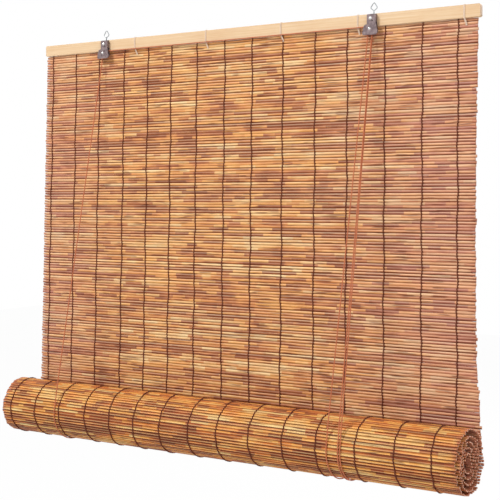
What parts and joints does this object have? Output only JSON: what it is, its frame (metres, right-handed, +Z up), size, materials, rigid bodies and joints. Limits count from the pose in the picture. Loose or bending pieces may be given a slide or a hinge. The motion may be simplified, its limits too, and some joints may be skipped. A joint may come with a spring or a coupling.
{
  "type": "roller blind",
  "caption": "Bamboo reed roll-up blind with a pale head batten, cord clips with hanging eyes, and its lower half rolled up in cord loops",
  "frame": {"origin": "midway between the centres of the two hanging eyes", "axes": "+X along the battens to the right seen from the front, +Z up, the front of the blind and its roll face -Y"},
  "size_m": [1.216, 0.1639, 1.0196],
  "materials": {
    "pale_batten": "planed pale softwood with a clear satin coat",
    "honey_bamboo": "split bamboo reeds, carbonised honey brown, dull satin",
    "golden_bamboo": "outer side of the split bamboo reeds, golden brown, satin",
    "dark_batten": "stained wood, matt",
    "dark_twine": "twisted dark brown cotton twine",
    "pale_string": "undyed cotton string",
    "terracotta_cord": "twisted cotton cord, reddish brown",
    "bronzed_steel": "stamped steel with a grey bronze coat, worn",
    "bright_steel": "bright plated steel",
    "zinc_wheel": "zinc plated steel, dull",
    "grey_wire": "zinc plated wire"
  },
  "bodies": {
    "head": {"head_batten": "pale_batten", "batten_ties": "pale_string", "reed_panel": "honey_bamboo", "front_twines": "dark_twine", "back_twines": "dark_twine", "left_bracket": "bronzed_steel", "right_bracket": "bronzed_steel", "left_back_plate": "bronzed_steel", "right_back_plate": "bronzed_steel", "left_axle": "bright_steel", "right_axle": "bright_steel", "left_screw": "bright_steel", "right_screw": "bright_steel", "left_staple": "bright_steel", "right_staple": "bright_steel", "lock_pin": "bright_steel", "left_cord_end": "terracotta_cord", "right_cord_end": "terracotta_cord", "left_cord_back": "terracotta_cord", "right_cord_back": "terracotta_cord", "left_cord_front": "terracotta_cord", "right_cord_front": "terracotta_cord", "left_cord_crossing": "terracotta_cord", "right_cord_turn": "terracotta_cord", "left_pull_cord": "terracotta_cord", "right_pull_cord": "terracotta_cord"},
    "left_hanging_eye": {"left_eye": "grey_wire"},
    "right_hanging_eye": {"right_eye": "grey_wire"},
    "left_wheel": {"left_pulley": "zinc_wheel"},
    "right_wheel": {"right_pulley": "zinc_wheel"},
    "cord_lock": {"lock_cam": "zinc_wheel"},
    "cradle": {"left_cord_loop": "terracotta_cord", "right_cord_loop": "terracotta_cord", "left_pull_tuck": "terracotta_cord", "right_pull_tuck": "terracotta_cord", "cord_hank": "terracotta_cord", "hank_tie": "pale_string"},
    "roll": {"reed_roll": "golden_bamboo", "roll_twines": "dark_twine", "bottom_batten": "dark_batten"}
  },
  "joints": [
    {"name": "lift", "type": "slide", "parent": "head", "child": "cradle", "axis": [0, 0, 1], "range_m": [0, 0.8], "deforming": ["reed_panel", "front_twines", "back_twines", "left_cord_back", "right_cord_back", "left_cord_front", "right_cord_front", "left_pull_cord", "right_pull_cord"]},
    {"name": "roll_turn", "type": "hinge", "parent": "cradle", "child": "roll", "pos_m": [0, -0.0731, -0.94095], "axis": [1, 0, 0], "range_deg": [-721, 0]},
    {"name": "left_wheel_turn", "type": "hinge", "parent": "head", "child": "left_wheel", "pos_m": [-0.385, 0, -0.0473], "axis": [0, 1, 0], "range_deg": [0, 19506]},
    {"name": "right_wheel_turn", "type": "hinge", "parent": "head", "child": "right_wheel", "pos_m": [0.365, 0, -0.0473], "axis": [0, 1, 0], "range_deg": [0, 19506]},
    {"name": "cord_lock_swing", "type": "hinge", "parent": "head", "child": "cord_lock", "pos_m": [0.3766, 0, -0.0518], "axis": [0, -1, 0], "range_deg": [0, 35]},
    {"name": "left_eye_turn", "type": "hinge", "parent": "head", "child": "left_hanging_eye", "pos_m": [-0.375, 0, -0.0165], "axis": [0, 0, 1], "continuous": true},
    {"name": "right_eye_turn", "type": "hinge", "parent": "head", "child": "right_hanging_eye", "pos_m": [0.375, 0, -0.0165], "axis": [0, 0, 1], "continuous": true}
  ],
  "couplings": [
    {"joint": "roll_turn", "follows": "lift", "rad_per_m": -15.708},
    {"joint": "left_wheel_turn", "follows": "lift", "rad_per_m": 425.53},
    {"joint": "right_wheel_turn", "follows": "lift", "rad_per_m": 425.53}
  ]
}
